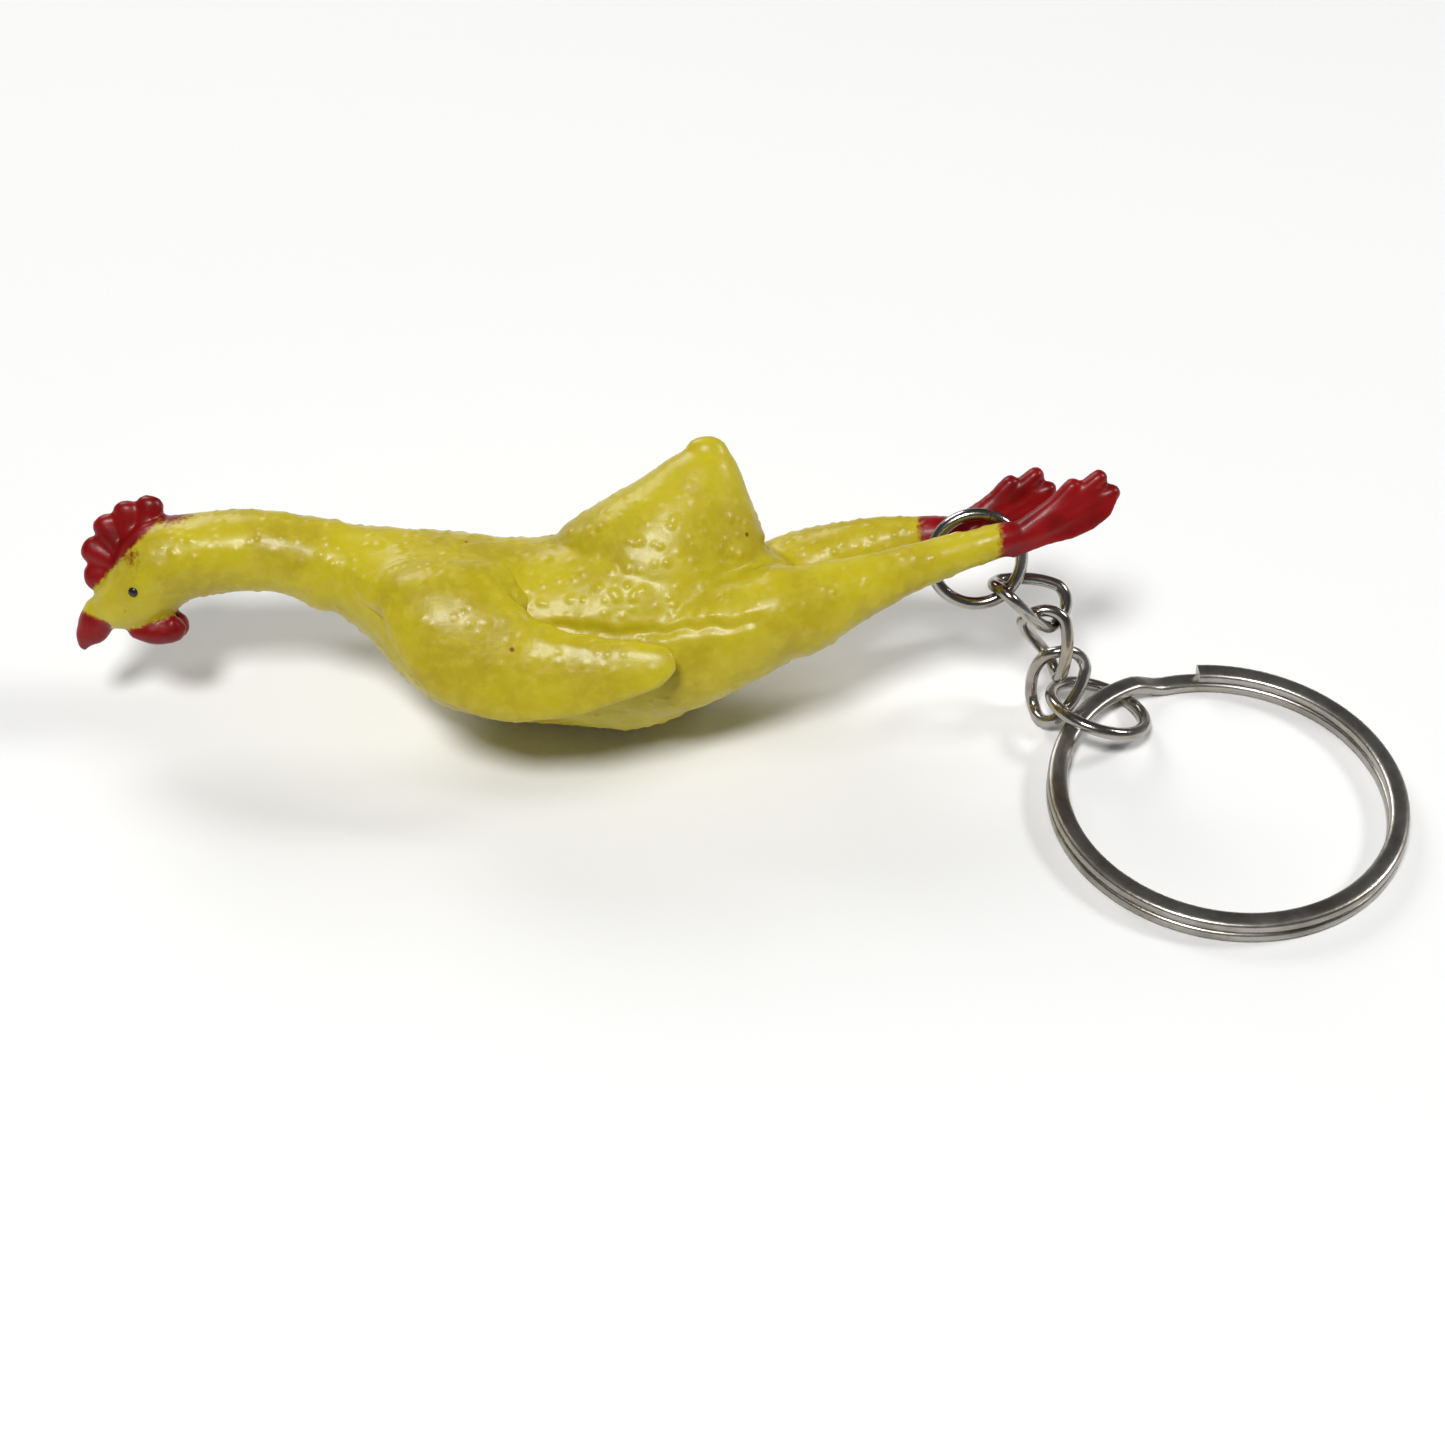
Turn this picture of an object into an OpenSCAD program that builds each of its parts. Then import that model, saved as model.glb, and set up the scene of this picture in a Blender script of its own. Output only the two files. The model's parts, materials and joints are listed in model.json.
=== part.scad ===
// Rubber chicken key chain.
// A soft moulded chicken lies leaning on its right wing. A jump ring hooks on a bridge between
// its ankles, and three twisted links and an end loop lead down to a split key ring on the floor.
// Millimetres. +X from head to feet and key ring, +Y to the far side, +Z up.
// The chicken is drawn in its own frame first: +X to the feet, +Z to the back, -Y to its left side.

/* [Chicken] */
// Length of the moulding from the comb to the longest toe
chicken_len = 87.7; // [87:0.1:88.4]
// How far the chicken leans over on its right wing, in degrees
chicken_lean = 30; // [29:0.5:31]
// Thickness of the comb
comb_thick = 1.9; // [1.4:0.1:2.2]
// Thickness of each webbed foot
foot_thick = 1.9; // [1.4:0.1:2.2]
// Radius of the painted eyes
eye_r = 0.45; // [0.35:0.05:0.6]
// Radius of the bridge between the ankles
bridge_r = 1.1; // [0.9:0.05:1.2]

/* [Flexing places] */
// Gap left round each ball at a place where the rubber flexes
flex_gap = 0.2; // [0.15:0.05:0.25]
// Radius of the ball at the root of the neck
neck_ball_r = 3.7; // [3.5:0.1:3.8]
// Radius of the ball behind the head
head_ball_r = 3.5; // [3.3:0.1:3.6]
// Radius of the ball at the top of each leg
hip_ball_r = 4.0; // [3.8:0.1:4.1]
// Radius of the rounded root of each wing
wing_root_r = 1.7; // [1.5:0.1:1.8]

/* [Chain] */
// Outer diameter of the jump ring
jump_od = 8.7; // [8.6:0.02:8.8]
// Wire diameter of the jump ring and the end loop
loop_wire = 1.1; // [1:0.05:1.15]
// Outer diameter of the end loop
end_od = 9.5; // [9.4:0.05:9.55]
// Wire diameter of the links
link_wire = 1.05; // [0.95:0.05:1.1]
// Length of a link, outside
link_len = 8.0; // [7.9:0.05:8.1]
// Width of a link, outside
link_wid = 5.2; // [5.1:0.05:5.3]
// Twist of a link from end to end, in degrees
link_twist = 80; // [76:1:84]

/* [Key ring] */
// Outer diameter of the split ring
key_od = 30; // [29.8:0.1:30.2]
// Radial width of its wire
key_wire_w = 1.68; // [1.6:0.02:1.7]
// Height of its two coils together
key_h = 2.14; // [2.1:0.02:2.2]

/* [Hidden] */

YELLOW = [0.93, 0.84, 0.22];
RED = [0.72, 0.05, 0.09];
BLACK = [0.03, 0.03, 0.03];
NICKEL = [0.72, 0.71, 0.68];

LEFT = -1;
RIGHT = 1;
drawn_len = 87.7;                       // length at which the stations below are drawn
k = chicken_len / drawn_len;
sides = 24;                             // sides of an oval section
wire_sides = 8;                         // sides of a swept wire
cap_steps = [25, 50, 70, 85];           // angles of the rings that round off an end

// Where the object sits: the chicken's own origin over the floor, and the box's middle
rest_h = 9.0;
rest_y = 0.9;
mid_x = 1.5;
mid_y = -6.6;

// Flexing places, [x, z] in the chicken's middle plane
neck_pivot = [-32.6, 6.4];
head_pivot = [-44.2, 7.2];
hip_pivot = [4.4, 3.4];
hip_y = 4.3;
wing_pivot = [5.9, 6.0];                // [out from the middle plane, up]
wing_root = [-25, -18];                 // first and last x of the wing's root
bridge_at = [21.6, 8.5];
jump_at = [21.25, 7.0];

// Stations of the soft shapes: [x, y, z, half height, half width]
body_st = [[-30.8, 0, 5.7, 4.3, 4.3], [-29.1, 0, 4.8, 5.1, 5.1], [-27.1, 0, 3.5, 6.2, 5.9],
           [-24.8, 0, 2.4, 7.2, 6.3], [-22.6, 0, 1.8, 7.7, 6.7], [-19.5, 0, 1.2, 7.8, 6.8],
           [-16.2, 0, 0.9, 7.8, 6.9], [-12.8, 0, 1.0, 8.2, 7.0], [-10.3, 0, 1.2, 8.7, 7.1],
           [-7.8, 0, 1.4, 9.0, 7.2], [-5.3, 0, 1.7, 8.8, 7.3], [-2.7, 0, 2.1, 8.0, 7.1],
           [-0.2, 0, 2.4, 6.9, 6.7], [1.9, 0, 2.4, 6.0, 6.3], [3.2, 0, 2.5, 5.2, 5.8]];
tail_st = [[-4.6, 0, 3.0, 6.5, 6.2], [-4.7, 0, 6.4, 8.0, 6.2], [-4.5, 0, 9.2, 7.8, 5.3],
           [-3.4, 0, 12.0, 5.8, 4.0], [-2.1, 0, 14.2, 3.5, 2.6], [-1.5, 0, 15.4, 2.3, 1.8],
           [-1.0, 0, 16.4, 1.4, 1.2], [-0.9, 0, 17.0, 0.8, 0.6]];
neck_st = [[-44.2, 0, 7.2, 3.5, 3.5], [-42.0, 0, 7.6, 3.5, 3.4], [-39.1, 0, 7.8, 3.4, 3.3],
           [-35.9, 0, 7.4, 3.4, 3.4], [-32.6, 0, 6.4, 3.7, 3.7]];
head_st = [[-46.0, 0, 7.1, 3.7, 3.6], [-46.9, 0, 6.7, 3.7, 3.6], [-48.1, 0, 5.3, 3.5, 3.4],
           [-49.4, 0, 4.1, 3.1, 3.0], [-50.8, 0, 3.2, 2.4, 2.4], [-51.8, 0, 2.7, 1.8, 1.8]];
beak_st = [[-52.0, 0, 2.9, 1.1, 1.2], [-52.5, 0, 2.0, 1.4, 1.4], [-52.9, 0, 1.0, 1.45, 1.2],
           [-53.2, 0, 0.1, 1.1, 0.8], [-53.5, 0, -0.6, 0.5, 0.4]];
left_leg_st = [[4.4, 4.3, 3.4, 4.0, 4.0], [6.5, 4.2, 3.6, 3.8, 3.7], [9.4, 3.9, 4.7, 3.05, 3.0],
               [12.6, 3.5, 5.9, 2.4, 2.3], [15.8, 3.1, 7.0, 1.95, 1.9], [18.7, 2.8, 7.9, 1.7, 1.7],
               [21.6, 2.7, 8.8, 1.5, 1.6], [23.7, 2.7, 9.4, 1.35, 1.5]];
right_leg_st = [[4.4, 4.3, 3.4, 4.0, 4.0], [6.5, 4.2, 4.7, 3.8, 3.7], [9.4, 3.9, 6.2, 3.05, 3.0],
                [12.6, 3.5, 7.4, 2.4, 2.3], [15.8, 3.1, 8.1, 1.95, 1.9], [18.7, 2.8, 8.6, 1.5, 1.6]];
// A wing's stations: [x, out from the middle plane, z, half height, half thickness]
wing_st = [[-27.9, 7.2, 5.4, 0.8, 0.6], [-26.9, 7.8, 4.6, 2.8, 1.1], [-25.4, 8.3, 3.6, 4.0, 1.4],
           [-23.5, 8.7, 2.6, 5.0, 1.5], [-20.5, 9.0, 1.7, 5.4, 1.5], [-17.9, 9.2, 1.0, 5.3, 1.5],
           [-16.2, 9.3, 0.3, 4.7, 1.5], [-14.9, 9.5, -0.2, 4.0, 1.4], [-11.9, 9.8, -0.4, 3.4, 1.4],
           [-8.7, 10.1, 0.0, 2.7, 1.2], [-5.5, 10.4, 0.4, 1.9, 1.0], [-4.2, 10.5, 0.6, 1.2, 0.7],
           [-3.7, 10.5, 0.7, 0.4, 0.3]];
wing_flare = 0.2;                       // how much the wing's lower edge stands out, mm per mm

// Comb: base line from beak to nape, and the tip of each lobe
comb_base = [[-46.7, 10.0], [-46.2, 7.6], [-50.8, 3.6], [-53.0, 4.3]];
comb_tips = [[-52.7, 5.7], [-52.6, 7.9], [-51.2, 9.9], [-49.7, 10.9], [-47.9, 11.4]];
comb_foot = [-49.3, 6.0];               // point that the lobes spread from
comb_tip_r = 0.9;
toe_neck = 0.85;                        // width of a toe behind its tip, over the tip's

// Wattles: [x, out from the middle plane, z] of a lobe's front and back ends
wattle_ends = [[-49.5, 0.9, 0.9], [-46.6, 1.1, 1.0]];
wattle_r = 1.15;

eye_at = [-49.4, 2.9, 4.4];

// Foot: heel, web and toes drawn on its side, for the left foot
foot_y = 2.7;
foot_web = [[22.4, 8.0], [24.0, 7.8], [26.8, 9.0], [28.8, 9.5], [30.4, 10.2], [31.8, 11.3],
            [32.4, 12.6], [31.4, 13.1], [29.9, 13.0], [28.4, 13.2], [27.0, 12.0], [24.7, 10.6],
            [22.4, 10.4]];
foot_toes = [[29.1, 13.5], [31.2, 14.0], [32.2, 12.8]];
foot_ankle = [25.0, 9.4];
toe_r = 0.6;
right_foot_shift = [-5.0, -1.2];

// Chain, over the floor: middle of each link and its [roll, pitch, heading]
link_places = [[[25.9, 2.9, 12.0], [-169, 27, 4]],
               [[27.7, 1.9, 7.9], [118, 75, -16]],
               [[28.5, 0.8, 3.9], [-28, 67, -150]]];
end_at = [32.3, -0.4, 2.2];
end_turn = [0, 22, 47];
key_at = [42.2, -9.75, 0];

// Split ring: the upper coil starts at upper_end and runs clockwise; the lower one ends at lower_end
upper_end = 99.6;
lower_end = 158;
drop_angles = [118, 104];               // where the crossing wire leaves the upper level and lands
lift_angles = [170, 104];               // between these the crossing wire arches over the end loop
lift_h = 0.35;
key_step = 6;
coil_gap = 0.06;                        // air between the two coils
coil_h = (key_h - coil_gap) / 2;
coil_r = key_od / 2 - key_wire_w / 2;

jump_r = (jump_od - loop_wire) / 2;
end_r = (end_od - loop_wire) / 2;
link_l = link_len - link_wire;
link_w = link_wid - link_wire;
link_steps = 48;

function unit(v) = v / norm(v);
function place_of(s) = [s[0], s[1], s[2]];
function heading(p, i) = unit(p[min(i + 1, len(p) - 1)] - p[max(i - 1, 0)]);

// Ring of points of an oval section, square to the direction t
function oval(c, t, h, w, n) =
    let (side = unit([0, 1, 0] - t[1] * t), tall = cross(t, side))
    [for (i = [0:n - 1]) c + w * cos(360 * i / n) * side + h * sin(360 * i / n) * tall];

// Stations that carry on past one end in a half sphere, from a section near its equator
function dome(s, t, steps) =
    let (r = min(s[3], s[4]))
    [for (a = steps) let (c = place_of(s) + t * r * sin(a)) [c[0], c[1], c[2], s[3] * cos(a), s[4] * cos(a)]];
function reversed(v) = [for (i = [len(v) - 1:-1:0]) v[i]];
function domed(st) =
    let (p = [for (s = st) place_of(s)], n = len(st))
    concat(reversed(dome(st[0], -heading(p, 0), cap_steps)), st, dome(st[n - 1], heading(p, n - 1), cap_steps));

// Solid skin over rings of n points each
module skin(rings, n, closed = false) {
    m = len(rings);
    last = closed ? m - 1 : m - 2;
    walls = [for (i = [0:last]) for (j = [0:n - 1])
             let (a = i * n, b = ((i + 1) % m) * n, q = (j + 1) % n) [a + j, b + j, b + q, a + q]];
    caps = closed ? [] : [[for (j = [0:n - 1]) j], [for (j = [n - 1:-1:0]) (m - 1) * n + j]];
    polyhedron([for (r = rings) each r], concat(walls, caps), convexity = 6);
}

// Oval tube through stations, its sections square to its own path or all square to one axis
module oval_tube(st, axis = undef) {
    p = [for (s = st) place_of(s)];
    skin([for (i = [0:len(st) - 1])
          oval(p[i], is_undef(axis) ? heading(p, i) : axis, st[i][3], st[i][4], sides)], sides);
}

// Sets the chicken down, leaning on its right wing
module laid() {
    translate([-mid_x, rest_y - mid_y, rest_h]) rotate([-chicken_lean, 0, 0]) scale(k) children();
}

// Moves the chain and the key ring into the object's frame
module on_floor() {
    translate([-mid_x, -mid_y, 0]) children();
}

module ball(at, y, r) {
    translate([at[0], y, at[1]]) sphere(r, $fn = 48);
}

// Round-ended groove along X that takes a wing's root
module wing_groove(side) {
    r = wing_root_r + flex_gap;
    for (x = wing_root)
        translate([x, side * wing_pivot[0], wing_pivot[1]]) sphere(r, $fn = 48);
    translate([wing_root[0], side * wing_pivot[0], wing_pivot[1]]) rotate([0, 90, 0])
        cylinder(h = wing_root[1] - wing_root[0], r = r, $fn = 48);
}

// A plate in the middle plane, standing on XZ
module side_plate(thick, y) {
    translate([0, y + thick / 2, 0]) rotate([90, 0, 0]) linear_extrude(thick) children();
}

// A bar from one point to another with a slightly swollen round end, flat
module toe(from, to, r) {
    d = to - from;
    half = toe_neck * r;
    translate(from) rotate(atan2(d[1], d[0])) translate([0, -half]) square([norm(d), 2 * half]);
    translate(to) circle(r, $fn = 24);
}

// Round end of a comb's lobe, as points that run clockwise round the tip
function lobe(from, tip, r) =
    let (d = tip - from, a = atan2(d[1], d[0]))
    [for (b = [100:-20:-100]) tip + r * [cos(a + b), sin(a + b)]];

module torso() {
    color(YELLOW) laid() difference() {
        union() {
            oval_tube(body_st, [1, 0, 0]);
            oval_tube(tail_st, [0, 0, 1]);
        }
        ball(neck_pivot, 0, neck_ball_r + flex_gap);
        for (s = [LEFT, RIGHT]) {
            ball(hip_pivot, s * hip_y, hip_ball_r + flex_gap);
            wing_groove(s);
        }
    }
}

module neck() {
    color(YELLOW) laid() oval_tube(domed(neck_st));
}

module head() {
    color(YELLOW) laid() difference() {
        oval_tube(head_st);
        ball(head_pivot, 0, head_ball_r + flex_gap);
    }
}

module comb() {
    color(RED) laid() difference() {
        side_plate(comb_thick, 0)
            polygon(concat([for (t = comb_tips) each lobe(comb_foot, t, comb_tip_r)], comb_base));
        ball(head_pivot, 0, head_ball_r + flex_gap);
    }
}

module beak() {
    color(RED) laid() oval_tube(domed(beak_st));
}

module wattles() {
    color(RED) laid() for (s = [LEFT, RIGHT])
        oval_tube(domed([for (e = wattle_ends) [e[0], s * e[1], e[2], wattle_r, wattle_r * 0.75]]));
}

module eye(side) {
    color(BLACK) laid() translate([eye_at[0], side * eye_at[1], eye_at[2]]) sphere(eye_r, $fn = 24);
}

// One wing: a flared blade that hangs from its rounded root
module wing(side) {
    color(YELLOW) laid() {
        oval_tube(domed([for (x = wing_root)
                         [x, side * wing_pivot[0], wing_pivot[1], wing_root_r, wing_root_r]]));
        skin([for (s = wing_st) [for (i = [0:sides - 1])
              let (a = 360 * i / sides * side, up = s[3] * sin(a))
              [s[0], side * (s[1] - wing_flare * up) + s[4] * cos(a) * side, s[2] + up]]], sides);
    }
}

module leg(st, side) {
    color(YELLOW) laid() oval_tube(domed([for (s = st) [s[0], side * s[1], s[2], s[3], s[4]]]));
}

module foot_outline() {
    polygon(foot_web);
    for (t = foot_toes) toe(foot_ankle, t, toe_r);
}

module foot(side) {
    color(RED) laid() side_plate(foot_thick, side * foot_y)
        translate(side == RIGHT ? right_foot_shift : [0, 0]) foot_outline();
}

module ankle_bridge() {
    color(RED) laid() translate([bridge_at[0], foot_y, bridge_at[1]]) rotate([90, 0, 0])
        cylinder(h = 2 * foot_y, r = bridge_r, $fn = 32);
}

// A round wire ring in the XY plane
module wire_ring(r, wire) {
    rotate_extrude($fn = 64) translate([r, 0]) circle(d = wire, $fn = 24);
}

module jump_ring() {
    color(NICKEL) laid() translate([jump_at[0], 0, jump_at[1]]) rotate([90, 0, 0])
        wire_ring(jump_r, loop_wire);
}

// Point on the middle of a twisted link's wire; a long round-ended loop, twisted about X
function link_point(a) =
    let (x = (link_l - link_w) / 2 * max(-1, min(1, 2.2 * cos(a))) + link_w / 2 * cos(a),
         t = link_twist * x / link_l)
    [x, link_w / 2 * sin(a) * cos(t), link_w / 2 * sin(a) * sin(t)];

// Sections of a closed wire: each stands square to the wire, beside the line to the loop's middle
function wire_rings(p, r, n) =
    [for (i = [0:len(p) - 1])
     let (t = unit(p[(i + 1) % len(p)] - p[(i + len(p) - 1) % len(p)]),
          out = unit(p[i] - (p[i] * t) * t), up = cross(t, out))
     [for (j = [0:n - 1]) p[i] + r * cos(360 * j / n) * out + r * sin(360 * j / n) * up]];

module chain_link(i) {
    color(NICKEL) on_floor() translate(link_places[i][0]) rotate(link_places[i][1])
        skin(wire_rings([for (s = [0:link_steps - 1]) link_point(360 * s / link_steps)],
                        link_wire / 2, wire_sides), wire_sides, true);
}

module end_loop() {
    color(NICKEL) on_floor() translate(end_at) rotate(end_turn) wire_ring(end_r, loop_wire);
}

// Height of the split ring's wire after turning clockwise by s degrees from its upper end
function coil_z(s) =
    let (drop = (s - (360 + upper_end - drop_angles[0])) / (drop_angles[0] - drop_angles[1]),
         f = max(0, min(1, drop)),
         arch = (s - (360 + upper_end - lift_angles[0])) / (lift_angles[0] - lift_angles[1]))
    coil_h / 2 + (coil_h + coil_gap) * (1 - f * f * (3 - 2 * f))
    + lift_h * pow(sin(180 * max(0, min(1, arch))), 2);

// Flat-sided wire section with its four corners cut
function coil_section(s) =
    let (a = upper_end - s, w = key_wire_w / 2, h = coil_h / 2, c = 0.3)
    [for (q = [[w, c - h], [w, h - c], [w - c, h], [c - w, h], [-w, h - c], [-w, c - h], [c - w, -h], [w - c, -h]])
     [(coil_r + q[0]) * cos(a), (coil_r + q[0]) * sin(a), coil_z(s) + q[1]]];

module split_ring() {
    total = 720 - (lower_end - upper_end);
    color(NICKEL) on_floor() translate(key_at)
        skin([for (i = [0:ceil(total / key_step)]) coil_section(min(total, i * key_step))], 8);
}

torso();
neck();
head();
comb();
beak();
wattles();
eye(LEFT);  // left_eye
eye(RIGHT);  // right_eye
wing(LEFT);  // left_wing
wing(RIGHT);  // right_wing
leg(left_leg_st, LEFT);  // left_leg
leg(right_leg_st, RIGHT);  // right_leg
foot(LEFT);  // left_foot
foot(RIGHT);  // right_foot
ankle_bridge();
jump_ring();
chain_link(0);  // chain_link_1
chain_link(1);  // chain_link_2
chain_link(2);  // chain_link_3
end_loop();
split_ring();
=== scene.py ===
import json
import math

import bmesh
import bpy
import numpy as np
from mathutils import Matrix, Vector, noise
from mathutils.bvhtree import BVHTree


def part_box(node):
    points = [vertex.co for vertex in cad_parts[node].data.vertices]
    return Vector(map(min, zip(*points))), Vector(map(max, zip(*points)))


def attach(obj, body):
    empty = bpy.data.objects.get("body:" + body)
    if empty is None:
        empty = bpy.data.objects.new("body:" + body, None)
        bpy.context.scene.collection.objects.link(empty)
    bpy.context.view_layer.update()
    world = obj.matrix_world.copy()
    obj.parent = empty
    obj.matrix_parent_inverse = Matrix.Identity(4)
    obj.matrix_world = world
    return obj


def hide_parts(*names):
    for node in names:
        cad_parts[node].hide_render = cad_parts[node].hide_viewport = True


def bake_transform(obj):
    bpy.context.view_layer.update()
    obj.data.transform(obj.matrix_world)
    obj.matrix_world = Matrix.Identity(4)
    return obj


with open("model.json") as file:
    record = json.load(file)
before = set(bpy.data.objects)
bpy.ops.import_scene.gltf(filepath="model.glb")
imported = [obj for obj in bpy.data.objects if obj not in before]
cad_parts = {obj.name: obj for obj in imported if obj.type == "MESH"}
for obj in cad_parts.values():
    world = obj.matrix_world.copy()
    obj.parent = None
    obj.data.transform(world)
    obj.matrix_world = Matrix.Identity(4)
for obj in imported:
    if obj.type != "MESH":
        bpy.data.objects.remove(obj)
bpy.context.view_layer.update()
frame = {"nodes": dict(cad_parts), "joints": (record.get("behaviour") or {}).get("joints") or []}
joints = {j["name"]: j for j in frame["joints"]}
print("frame loaded:", len(frame["nodes"]), "nodes")

mm = 0.001
left, right = -1, 1

# The chicken is shaped in its own frame in millimetres: x to the feet, y to its right side and z
# to its back. The neck's joint says where that frame lies and how far the chicken leans over.
neckPivot = Vector((-32.6, 0, 6.4))
along = Vector((1, 0, 0))
across = Vector(joints["neck_bend"]["axis"]).normalized()
turned = Matrix((along, across, along.cross(across))).transposed().to_4x4()
birdPlace = Matrix.Translation(Vector(joints["neck_bend"]["pos_m"]) - turned @ (neckPivot * mm))
birdPlace = birdPlace @ turned @ Matrix.Scale(mm, 4)


def newObject(name, bm):
    mesh = bpy.data.meshes.new(name)
    bm.to_mesh(mesh)
    bm.free()
    obj = bpy.data.objects.new(name, mesh)
    bpy.context.scene.collection.objects.link(obj)
    return obj


def smoothStep(low, high, value):
    t = max(0.0, min(1.0, (value - low) / (high - low)))
    return t * t * (3 - 2 * t)


def finerRows(rows, finer=5):    # a smooth curve through the stations
    p = np.array(rows, float)
    p = np.vstack([2 * p[0] - p[1], p, 2 * p[-1] - p[-2]])
    out = []
    for a, b, c, d in zip(p, p[1:], p[2:], p[3:]):
        for t in np.arange(finer) / finer:
            bend = (2 * a - 5 * b + 4 * c - d) * t + (3 * b - a - 3 * c + d) * t * t
            out.append(b + 0.5 * t * (c - a + bend))
    out.append(p[-2])
    return out


def headingAt(rows, i):
    return (Vector(rows[min(i + 1, len(rows) - 1)][:3]) - Vector(rows[max(i - 1, 0)][:3])).normalized()


endAngles = (20, 40, 58, 74, 86)    # degrees round the half ball that closes an end


def roundEnd(row, heading):
    r = min(row[3], row[4])
    out = []
    for a in endAngles:
        c, s = math.cos(math.radians(a)), math.sin(math.radians(a))
        x, y, z = Vector(row[:3]) + heading * (r * s)
        out.append([x, y, z, row[3] * c, row[4] * c])
    return out


def ringPlaces(rows, axis=None):    # where each ring of a round-ended shape goes
    rows = [list(r) for r in finerRows(rows)]
    first = roundEnd(rows[0], -(Vector(axis) if axis else headingAt(rows, 0)))
    last = roundEnd(rows[-1], Vector(axis) if axis else headingAt(rows, len(rows) - 1))
    rows = first[::-1] + rows + last
    places = []
    for i, row in enumerate(rows):
        ahead = Vector(axis) if axis else headingAt(rows, i)
        side = (Vector((0, 1, 0)) - ahead * ahead.y).normalized()
        place = Matrix((side * row[4], ahead.cross(side) * row[3], ahead)).transposed().to_4x4()
        place.translation = Vector(row[:3])
        places.append(place)
    return places


def loft(bm, places, sides=40, closed=False, outline=None):    # a tube through the places
    ring = bmesh.ops.create_circle(bm, cap_ends=not closed, segments=sides, radius=1)["verts"]
    if outline:
        for v, (x, y) in zip(ring, outline):
            v.co = (x, y, 0)
    bmesh.ops.transform(bm, matrix=places[0], verts=ring)
    edges = list({e for v in ring for e in v.link_edges})
    firstEdges = edges
    for before, after in zip(places, places[1:]):
        grown = bmesh.ops.extrude_edge_only(bm, edges=edges)["geom"]
        verts = {g for g in grown if isinstance(g, bmesh.types.BMVert)}
        edges = [g for g in grown if isinstance(g, bmesh.types.BMEdge) and set(g.verts) <= verts]
        bmesh.ops.transform(bm, matrix=after @ before.inverted(), verts=list(verts))
    if closed:
        bmesh.ops.bridge_loops(bm, edges=firstEdges + edges)
    else:
        bmesh.ops.contextual_create(bm, geom=edges)


def plate(bm, outline, thick, y):    # a flat plate in the chicken's middle plane
    verts = [bm.verts.new((x, y - thick / 2, z)) for x, z in outline]
    face = bm.faces.new(verts)
    grown = bmesh.ops.extrude_face_region(bm, geom=[face])["geom"]
    lifted = [g for g in grown if isinstance(g, bmesh.types.BMVert)]
    bmesh.ops.translate(bm, verts=lifted, vec=(0, thick, 0))


def fuse(bm, voxel):             # everything in bm becomes one closed skin
    bmesh.ops.recalc_face_normals(bm, faces=bm.faces)
    source = newObject("fusing", bm)
    remesh = source.modifiers.new("Remesh", "REMESH")
    remesh.mode = "VOXEL"
    remesh.voxel_size = voxel
    mesh = bpy.data.meshes.new_from_object(source.evaluated_get(bpy.context.evaluated_depsgraph_get()))
    bpy.data.objects.remove(source)
    skin = bmesh.new()
    skin.from_mesh(mesh)
    bpy.data.meshes.remove(mesh)
    return skin


def relax(bm, times, where=None):    # all of bm, or only where the test holds
    verts = [v for v in bm.verts if where is None or where(v.co)]
    for i in range(times):
        bmesh.ops.smooth_vert(bm, verts=verts, factor=0.5, use_axis_x=True, use_axis_y=True, use_axis_z=True)


bird = {
    "voxel": 0.2,                # mm, mesh size of the skin
    "joinedVoxel": 0.3,          # and of the skin that joins the shoulders
    "allSmoothing": 3,
    "bodySmoothing": 7,
    "bodyFrom": -46, "bodyTo": 21,
    "faceBack": -44,             # the comb, the beak and the wattles lie in front of it
    "wingSmoothing": 8,
    "shoulderSmoothing": 110,
    "shoulderSink": 0.03,        # mm that the back lies under the wing's root
}

# Rows of stations are x, y, z and half the height and half the width there, in millimetres.
torso = {
    "rows": [[-36.0, 0, 7.3, 3.4, 3.4], [-33.5, 0, 6.8, 3.6, 3.6], [-30.8, 0, 5.7, 4.4, 4.3],
             [-29.1, 0, 4.8, 5.1, 5.1], [-27.1, 0, 3.5, 6.2, 5.9], [-24.8, 0, 2.4, 7.2, 6.6],
             [-22.6, 0, 1.8, 7.7, 7.0], [-19.5, 0, 1.2, 7.8, 7.2], [-16.2, 0, 0.9, 7.8, 7.2],
             [-12.8, 0, 1.0, 8.2, 7.3], [-10.3, 0, 1.2, 8.7, 7.4], [-7.8, 0, 1.4, 9.0, 7.4],
             [-5.3, 0, 1.7, 8.8, 7.3], [-2.7, 0, 2.1, 8.0, 7.0], [-0.2, 0, 2.4, 6.9, 6.4],
             [2.0, 0, 2.6, 5.6, 5.6]],
    "saddle": [[-30.0, 0, 5.3, 2.2, 3.6], [-27.0, 0, 5.3, 3.3, 5.7], [-23.5, 0, 5.2, 3.85, 6.8],
               [-20.0, 0, 5.0, 3.85, 6.8], [-17.8, 0, 4.8, 3.1, 5.4]],
    "tail": [[-4.6, 0, 3.0, 6.5, 6.2], [-4.9, 0, 6.4, 8.3, 6.2], [-5.2, 0, 9.0, 8.6, 5.4],
             [-4.6, 0, 10.6, 7.5, 4.7], [-3.6, 0, 12.2, 5.9, 3.9], [-2.3, 0, 14.2, 3.9, 2.8],
             [-1.75, 0, 15.4, 2.8, 2.1], [-1.3, 0, 16.2, 1.8, 1.2]],
    "thigh": [[-9.5, 3.9, -0.6, 4.4, 3.4], [-4.5, 4.2, 0.0, 5.2, 3.8], [0.5, 4.3, 1.8, 4.7, 3.9],
              [4.4, 4.3, 3.4, 4.0, 4.0]],
}

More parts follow.
